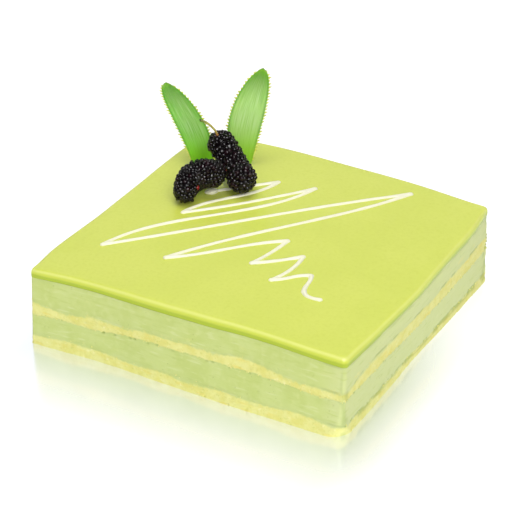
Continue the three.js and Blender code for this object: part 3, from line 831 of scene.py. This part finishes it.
def leaf_mesh(name, leaf, material):
    """A strap leaf: two ribbed faces that thin out to toothed margins."""
    stations, columns = 360, 31
    turn = math.radians(leaf["facing"])
    wide = np.array([math.cos(turn), math.sin(turn), 0])
    away = np.array([-math.sin(turn), math.cos(turn), 0])
    t = np.linspace(-LEAF_DEPTH / leaf["rise"], 1, stations)
    rise = np.maximum(t, 0)
    middle = np.array(leaf["base"]) + np.outer(t, (0, 0, leaf["rise"]))
    middle += np.outer(leaf["side"] * rise ** leaf["side_power"], wide) + np.outer(leaf["back"] * t, away)
    length = np.append(0, np.cumsum(np.linalg.norm(np.diff(middle, axis=0), axis=1)))
    share = np.concatenate([[-1.0], np.linspace(-1, 1, columns), [1.0]])
    teeth = np.zeros((stations, columns + 2))
    teeth[:, 0] = -tooth_reach(leaf, length, t, -1)
    teeth[:, -1] = tooth_reach(leaf, length, t, 1)
    across = np.tile(share, (stations, 1))
    width = np.maximum(leaf_half_width(leaf, t), 0.3)[:, None]
    margin = smooth(0.8, 1, np.abs(across))
    rib = 0.05 * np.cos(across * math.pi * 13) * (1 - margin)
    taper = np.clip((1 - t) / 0.12, 0.2, 1)[:, None]
    half = LEAF_THICKNESS / 2 * (1 - 0.72 * np.abs(across) ** 3) * taper
    half[:, [0, -1]] *= 0.35
    wave = 0.25 * np.sin(9 * rise + leaf["seed"])[:, None] * across
    hollow = -leaf["channel"] * across ** 2 * width / leaf["width"] * 2
    sideways = across * width + teeth
    grids = []
    for face in (-1, 1):
        depth = face * (half + rib) + hollow + wave
        grid = middle[:, None] + sideways[..., None] * wide + depth[..., None] * away
        grids.append(grid if face < 0 else grid[:, ::-1])
    loops = np.concatenate(grids, axis=1)
    count = loops.shape[1]
    faces = grid_faces(stations, count)
    for row, flip in ((0, True), ((stations - 1) * count, False)):
        for k in range(columns + 1):
            mirror = count - 1 - k
            quad = [row + k, row + k + 1, row + mirror - 1, row + mirror]
            faces.append(quad[::-1] if flip else quad)
    tooth = np.abs(teeth) / TOOTH_DEPTH
    values = {
        "along": t.repeat(count),
        "across": np.tile(np.concatenate([share, share[::-1]]), stations),
        "tooth": np.concatenate([tooth, tooth[:, ::-1]], axis=1).ravel(),
    }
    return make_mesh(name, loops.reshape(-1, 3), faces, material, values)


def leaves(materials):
    settle(leaf_mesh("strap_leaf_left", LEAF_LEFT, materials["leaf_left"]), "leaf", "leaf_left")
    settle(leaf_mesh("strap_leaf_right", LEAF_RIGHT, materials["leaf_right"]), "leaf", "leaf_right")


# Materials

def colour(red, green, blue):
    """A colour given as the 0 to 255 numbers that a screen shows, for a shader socket."""
    shares = (red / 255, green / 255, blue / 255)
    return (*[c / 12.92 if c <= 0.04045 else ((c + 0.055) / 1.055) ** 2.4 for c in shares], 1.0)


class Nodes:
    """Short ways to add and link the nodes of one tree."""

    def __init__(self, tree, coordinates):
        self.tree = tree
        self.coordinates = self.add("ShaderNodeTexCoord").outputs[coordinates]

    def add(self, kind, **settings):
        node = self.tree.nodes.new(kind)
        for setting, value in settings.items():
            setattr(node, setting, value)
        return node

    def plug(self, source, target):
        if hasattr(source, "links"):
            self.tree.links.new(source, target)
        else:
            target.default_value = source

    def math(self, operation, a, b=0.0, clamp=False):
        node = self.add("ShaderNodeMath", operation=operation, use_clamp=clamp)
        self.plug(a, node.inputs[0])
        self.plug(b, node.inputs[1])
        return node.outputs[0]

    def vector(self, operation, numbers, result):
        node = self.add("ShaderNodeVectorMath", operation=operation)
        self.plug(self.coordinates, node.inputs[0])
        node.inputs[1].default_value = numbers
        return node.outputs[result]

    def toward(self, direction):
        """How far each place lies in a direction."""
        return self.vector("DOT_PRODUCT", direction, "Value")

    def span(self, value, low, high, start=0.0, end=1.0):
        """A value between low and high, turned smoothly into one between start and end."""
        node = self.add("ShaderNodeMapRange", interpolation_type="SMOOTHSTEP")
        sockets = ("Value", "From Min", "From Max", "To Min", "To Max")
        for socket, source in zip(sockets, (value, low, high, start, end)):
            self.plug(source, node.inputs[socket])
        return node.outputs[0]


class Paint(Nodes):
    """A procedural material."""

    def __init__(self, name, **surface):
        self.material = bpy.data.materials.new(name)
        self.material.use_nodes = True
        super().__init__(self.material.node_tree, "Object")
        self.shader = self.tree.nodes["Principled BSDF"]
        for socket, value in surface.items():
            self.shader.inputs[socket.replace("_", " ")].default_value = value

    def set(self, socket, source):
        self.plug(source, self.shader.inputs[socket])

    def value(self, name):
        """A number that the mesh holds on its points."""
        return self.add("ShaderNodeAttribute", attribute_name=name).outputs["Fac"]

    def stretched(self, x, y, z):
        return self.vector("MULTIPLY", (x, y, z), "Vector")

    def noise(self, size, detail=3.0, place=None):
        """Noise with bumps of about the given size in millimetres."""
        node = self.add("ShaderNodeTexNoise")
        self.plug(place or self.coordinates, node.inputs["Vector"])
        node.inputs["Scale"].default_value = 1 / (size * MM)
        node.inputs["Detail"].default_value = detail
        return node.outputs["Fac"]

    def specks(self, size):
        """Distance from scattered specks, about the given size in millimetres apart."""
        node = self.add("ShaderNodeTexVoronoi")
        self.plug(self.coordinates, node.inputs["Vector"])
        node.inputs["Scale"].default_value = 1 / (size * MM)
        return node.outputs["Distance"]

    def mix(self, share, first, second):
        node = self.add("ShaderNodeMix", data_type="RGBA")
        for socket, source in zip(("Factor_Float", "A_Color", "B_Color"), (share, first, second)):
            self.plug(source, next(s for s in node.inputs if s.identifier == socket))
        return next(s for s in node.outputs if s.identifier == "Result_Color")

    def tint(self, base, tone, value, low, high, start=0.0, end=1.0):
        """The base colour, turned toward a tone as the value goes from low to high."""
        return self.mix(self.span(value, low, high, start, end), base, colour(*tone))

    def roughness(self, size, low, high, detail=3.0):
        """Gloss that varies softly over bumps of about the given size in millimetres."""
        self.set("Roughness", self.span(self.noise(size, detail), 0.3, 0.7, low, high))

    def bump(self, height, distance, strength):
        """Fine relief, with its height in millimetres."""
        node = self.add("ShaderNodeBump")
        node.inputs["Distance"].default_value = distance * MM
        node.inputs["Strength"].default_value = strength
        self.plug(height, node.inputs["Height"])
        self.set("Normal", node.outputs[0])


def side_paint(name, **surface):
    """What sponge and mousse share: one colour across the cut side, from green to yellow, with painted sheen
    on the right.
    """
    paint = Paint(name, **surface)
    green = paint.tint(colour(197, 210, 124), (203, 215, 134), paint.noise(9.0), 0.35, 0.65)
    green = paint.tint(green, (205, 216, 137), paint.noise(3.5, 2.0), 0.45, 0.75)
    # Painted sheen: the right side is painted paler and bluer, as the light it catches at a grazing angle
    # would make it.
    green = paint.mix(paint.math("MULTIPLY", paint.value("right"), 0.8), green, colour(212, 220, 154))
    drag = paint.noise(1.5, 3.0, paint.stretched(0.16, 0.16, 1.0))
    green = paint.tint(green, (216, 224, 158), drag, 0.55, 0.72, 0.0, 0.6)
    green = paint.tint(green, (188, 203, 112), drag, 0.45, 0.28, 0.0, 0.5)
    dots = paint.span(paint.specks(2.4), 0.14, 0.05, 0.0, 0.5)
    dots = paint.math("MULTIPLY", dots, paint.span(paint.noise(6.0), 0.5, 0.6))
    green = paint.mix(dots, green, colour(134, 148, 66))
    along = paint.stretched(0.3, 0.3, 1.0)
    yellow = paint.tint(colour(230, 228, 144), (223, 219, 122), paint.noise(5.0, 4.0), 0.35, 0.7)
    yellow = paint.tint(yellow, (229, 215, 104), paint.noise(2.2, 4.0, along), 0.52, 0.74, 0.0, 0.6)
    yellow = paint.tint(yellow, (206, 208, 104), paint.noise(1.0, 4.0), 0.54, 0.76, 0.0, 0.7)
    yellow = paint.tint(yellow, (242, 238, 176), paint.noise(1.8, 2.0), 0.6, 0.75, 0.0, 0.5)
    fray = paint.math("ADD", paint.noise(1.6), paint.noise(2.6, 3.0, along))
    ragged = paint.math("ADD", paint.value("yellow"), paint.span(fray, 0.65, 1.35, -0.24, 0.24))
    blend = paint.mix(paint.span(ragged, 0.1, 0.9), green, yellow)
    # Dark green for pits, tears and stains, with painted shade under the glaze and at the front corner.
    blend = paint.mix(paint.math("MULTIPLY", paint.value("pit"), 0.8), blend, colour(132, 158, 52))
    paint.set("Base Color", blend)
    return paint


def sponge_material():
    paint = side_paint("sponge", Roughness=0.8, Subsurface_Weight=0.2, Subsurface_Scale=0.0012,
                       Subsurface_Radius=(1.0, 0.9, 0.5))
    pores = paint.math("ADD", paint.noise(0.7, 5.0), paint.span(paint.specks(0.9), 0.0, 0.5, 0.0, 0.5))
    paint.bump(pores, 0.12, 0.6)
    return paint.material


def mousse_material():
    paint = side_paint("mousse", Specular_IOR_Level=0.3, Subsurface_Weight=0.3, Subsurface_Scale=0.0025,
                       Subsurface_Radius=(1.0, 1.0, 0.6))
    paint.bump(paint.math("ADD", paint.noise(0.9, 4.0), paint.noise(2.4)), 0.04, 0.5)
    paint.roughness(4.0, 0.45, 0.6)
    return paint.material


def glaze_material():
    paint = Paint("glaze", Subsurface_Weight=0.15, Subsurface_Scale=0.0015, IOR=1.4,
                  Subsurface_Radius=(1.0, 1.0, 0.4))
    depth = paint.value("depth")
    green = paint.tint(colour(216, 226, 94), (219, 228, 98), paint.noise(30.0, 4.0), 0.35, 0.65)
    green = paint.tint(green, (209, 219, 86), paint.noise(1.6, 5.0), 0.4, 0.8, 0.0, 0.5)
    # Painted highlight: a paler band along the top of the round edge, just below the rim.
    green = paint.tint(green, (228, 234, 130), depth, 0.0, 0.08)
    # Painted shade: darker, deeper green toward the foot, where the edge turns under, partly the thick
    # glaze's own deeper tone.
    green = paint.tint(green, (210, 220, 86), depth, 0.12, 0.35)
    paint.set("Base Color", paint.tint(green, (174, 193, 50), depth, 0.35, 0.65))
    paint.roughness(3.0, 0.22, 0.27, 4.0)
    return paint.material


def chocolate_material():
    paint = Paint("white_chocolate", Subsurface_Weight=0.2, Subsurface_Scale=0.001,
                  Subsurface_Radius=(1.0, 1.0, 1.0))
    paint.set("Base Color", paint.mix(paint.noise(3.0), colour(254, 252, 228), colour(252, 248, 214)))
    paint.roughness(1.0, 0.3, 0.45)
    paint.bump(paint.noise(0.5, 4.0), 0.04, 0.4)
    return paint.material


def berry_material():
    paint = Paint("berry", IOR=1.5, Specular_IOR_Level=0.33)
    tone = paint.value("tone")
    skin = paint.mix(paint.noise(1.5, 4.0), colour(8, 6, 7), colour(18, 11, 15))
    skin = paint.tint(skin, (56, 16, 32), tone, 0.2, 0.6, 0.0, 0.35)
    paint.set("Base Color", paint.tint(skin, (150, 22, 26), tone, 0.8, 1.0))
    paint.set("Roughness", paint.span(paint.noise(2.2), 0.38, 0.62, 0.1, 0.32))
    paint.bump(paint.noise(0.4, 3.0), 0.02, 0.4)
    return paint.material


def stalk_material():
    paint = Paint("stalk", Subsurface_Weight=0.15, Subsurface_Scale=0.001)
    along = paint.value("along")
    green = paint.tint(colour(176, 96, 60), (176, 168, 70), along, 0.0, 0.3)
    green = paint.tint(green, (120, 128, 44), along, 0.45, 0.8)
    paint.set("Base Color", paint.tint(green, (50, 48, 26), along, 0.85, 0.95))
    paint.roughness(0.8, 0.4, 0.6)
    paint.bump(paint.noise(0.4, 4.0), 0.05, 0.6)
    return paint.material


def leaf_material(name, low, middle, tip):
    """A leaf's paint: fine veins and a pale middle, dark lines along the margins and pale spines."""
    paint = Paint(name, IOR=1.4, Specular_IOR_Level=0.25, Subsurface_Weight=0.5, Subsurface_Scale=0.002,
                  Subsurface_Radius=(0.6, 1.0, 0.3))
    along, across = paint.value("along"), paint.value("across")
    body = paint.tint(colour(*low), middle, along, 0.05, 0.5)
    body = paint.tint(body, tip, along, 0.6, 1.0)
    lines = paint.add("ShaderNodeCombineXYZ")
    paint.plug(paint.math("MULTIPLY", across, 0.011), lines.inputs[0])
    paint.plug(paint.math("MULTIPLY", along, 0.0025), lines.inputs[1])
    veins = paint.noise(0.7, 3.0, lines.outputs[0])
    off_middle = paint.math("ABSOLUTE", across)
    pale = paint.math("MULTIPLY", paint.span(along, 0.15, 0.5), paint.span(off_middle, 0.95, 0.4, 0.2, 1.0))
    pale = paint.math("MULTIPLY", pale, paint.span(along, 1.0, 0.72, 0.0, 1.0))
    pale = paint.math("MULTIPLY", pale, paint.span(veins, 0.4, 0.7, 0.04, 0.46))
    body = paint.mix(pale, body, colour(218, 238, 188))
    body = paint.tint(body, (96, 168, 44), veins, 0.5, 0.3, 0.0, 0.25)
    margin = paint.span(off_middle, 0.84, 0.98, 0.0, 0.6)
    margin = paint.math("MULTIPLY", margin, paint.span(along, 0.0, 0.4, 0.2, 1.0))
    body = paint.mix(margin, body, colour(58, 138, 28))
    paint.set("Base Color", paint.tint(body, (226, 232, 104), paint.value("tooth"), 0.05, 0.35))
    paint.roughness(2.0, 0.4, 0.55)
    paint.bump(veins, 0.1, 0.5)
    return paint.material


def floor_material():
    """Bright white board with a soft reflection that fades away from the cake."""
    paint = Paint("white_board", Roughness=0.9, Specular_IOR_Level=0.0, Emission_Color=(1, 1, 1, 1),
                  Emission_Strength=1.0)
    paint.set("Base Color", paint.mix(paint.noise(40.0), colour(120, 120, 120), colour(116, 116, 116)))
    axes = paint.add("ShaderNodeSeparateXYZ")
    paint.plug(paint.coordinates, axes.inputs[0])
    squares = []
    for axis, half, weight in ((0, 75.5, 1.8), (1, 74.5, 1.0)):
        gap = paint.math("SUBTRACT", paint.math("ABSOLUTE", axes.outputs[axis]), half * MM)
        gap = paint.math("MULTIPLY", paint.math("MAXIMUM", gap, 0.0), weight)
        squares.append(paint.math("MULTIPLY", gap, gap))
    distance = paint.math("SQRT", paint.math("ADD", *squares))
    gloss = paint.add("ShaderNodeBsdfAnisotropic")
    gloss.inputs["Color"].default_value = colour(240, 245, 253)
    gloss.inputs["Roughness"].default_value = 0.18
    blend = paint.add("ShaderNodeMixShader")
    far = paint.math("DIVIDE", distance, FLOOR_GLOSS_REACH * MM)
    near = paint.math("SUBTRACT", 1.0, far, clamp=True)
    strength = paint.span(paint.toward(FLOOR_GLOSS_DIRECTION), -0.02, 0.06, 0.2, 0.74)
    paint.plug(paint.math("MULTIPLY", paint.math("POWER", near, 1.15), strength), blend.inputs["Fac"])
    paint.plug(paint.shader.outputs[0], blend.inputs[1])
    paint.plug(gloss.outputs[0], blend.inputs[2])
    paint.plug(blend.outputs[0], paint.tree.nodes["Material Output"].inputs["Surface"])
    return paint.material


def all_materials():
    return {
        "sponge": sponge_material(),
        "mousse": mousse_material(),
        "glaze": glaze_material(),
        "white_chocolate": chocolate_material(),
        "berry": berry_material(),
        "stalk": stalk_material(),
        "leaf_left": leaf_material("leaf_left", (150, 222, 50), (142, 198, 92), (103, 158, 57)),
        "leaf_right": leaf_material("leaf_right", (172, 224, 68), (182, 220, 132), (104, 156, 44)),
    }


# Studio

def studio_floor():
    """A wide round board under the cake."""
    reach, rings, around = 4000.0, 12, 96
    turns = 2 * math.pi * np.arange(around) / around
    circle = np.column_stack([np.cos(turns), np.sin(turns), np.zeros(around)])
    circles = [reach * (ring / rings) ** 2 * circle for ring in range(1, rings + 1)]
    points = np.concatenate([[[0, 0, 0]], *circles])
    faces = [[0, 1 + k, 1 + (k + 1) % around] for k in range(around)]
    faces += [[corner + 1 for corner in face[::-1]] for face in grid_faces(rings, around)]
    make_mesh("white_board", points, faces, floor_material())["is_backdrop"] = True


def soft_light(name, place, size, power, mirrored=False):
    """A square soft box at a place in metres, turned to the cake; it lights, or only shows as a glint."""
    light = bpy.data.lights.new(name, "AREA")
    light.shape = "SQUARE"
    light.size = size
    light.energy = power
    lamp = bpy.data.objects.new(name, light)
    lamp.location = place
    lamp.visible_glossy = mirrored
    lamp.visible_diffuse = not mirrored
    aim = Vector((0, 0, 0.03)) - Vector(place)
    lamp.rotation_euler = aim.to_track_quat("-Z", "Y").to_euler()
    bpy.context.scene.collection.objects.link(lamp)


def studio_lights():
    soft_light("top_light", (-0.1, 0.0, 1.2), 0.7, 6.5)
    soft_light("key_light", (0.78, -0.5, 1.0), 0.5, 5.0)
    soft_light("low_light", (0.55, -1.1, 0.45), 0.6, 4.3)
    soft_light("glint_light", (0.6, -0.65, 1.2), 1.0, 38.0, mirrored=True)


def studio_world():
    """Surroundings that are white to the camera, a backdrop in reflections and weak on dull surfaces."""
    world = bpy.data.worlds.new("studio")
    bpy.context.scene.world = world
    world.use_nodes = True
    nodes = Nodes(world.node_tree, "Generated")
    background = world.node_tree.nodes["Background"]
    background.inputs["Color"].default_value = (1, 1, 1, 1)
    backdrop = nodes.span(nodes.toward(BACKDROP_DIRECTION), 0.86, 0.96)
    ray = nodes.add("ShaderNodeLightPath").outputs
    mirrored = nodes.math("MULTIPLY", ray["Is Glossy Ray"], backdrop)
    filled = nodes.math("ADD", nodes.math("MULTIPLY", ray["Is Diffuse Ray"], BACKDROP_FILL), mirrored)
    nodes.plug(nodes.math("MAXIMUM", ray["Is Camera Ray"], filled), background.inputs["Strength"])


def camera():
    lens = bpy.data.cameras.new("camera")
    lens.lens = FOCAL_LENGTH
    lens.sensor_width = SENSOR_WIDTH
    lens.clip_start = 0.05
    lens.clip_end = 20
    shot = bpy.data.objects.new("camera", lens)
    azimuth, elevation = math.radians(CAMERA_AZIMUTH), math.radians(CAMERA_ELEVATION)
    forward = Vector((-math.sin(azimuth) * math.cos(elevation), math.cos(azimuth) * math.cos(elevation),
                      -math.sin(elevation)))
    shot.location = Vector(CAMERA_PLACE) * MM
    shot.rotation_euler = forward.to_track_quat("-Z", "Y").to_euler()
    bpy.context.scene.collection.objects.link(shot)
    bpy.context.scene.camera = shot


def build():
    bpy.context.scene.view_settings.view_transform = "Standard"
    camera()
    studio_floor()
    studio_lights()
    studio_world()
    materials = all_materials()
    cake_layers(materials)
    glaze_sheet(materials["glaze"])
    zigzag(materials["white_chocolate"])
    berries(materials)
    stalk(materials["stalk"])
    leaves(materials)


build()
boxes = {"cad": cad_box, "visual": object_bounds()}
{name: [list(corner) for corner in box] for name, box in boxes.items()}
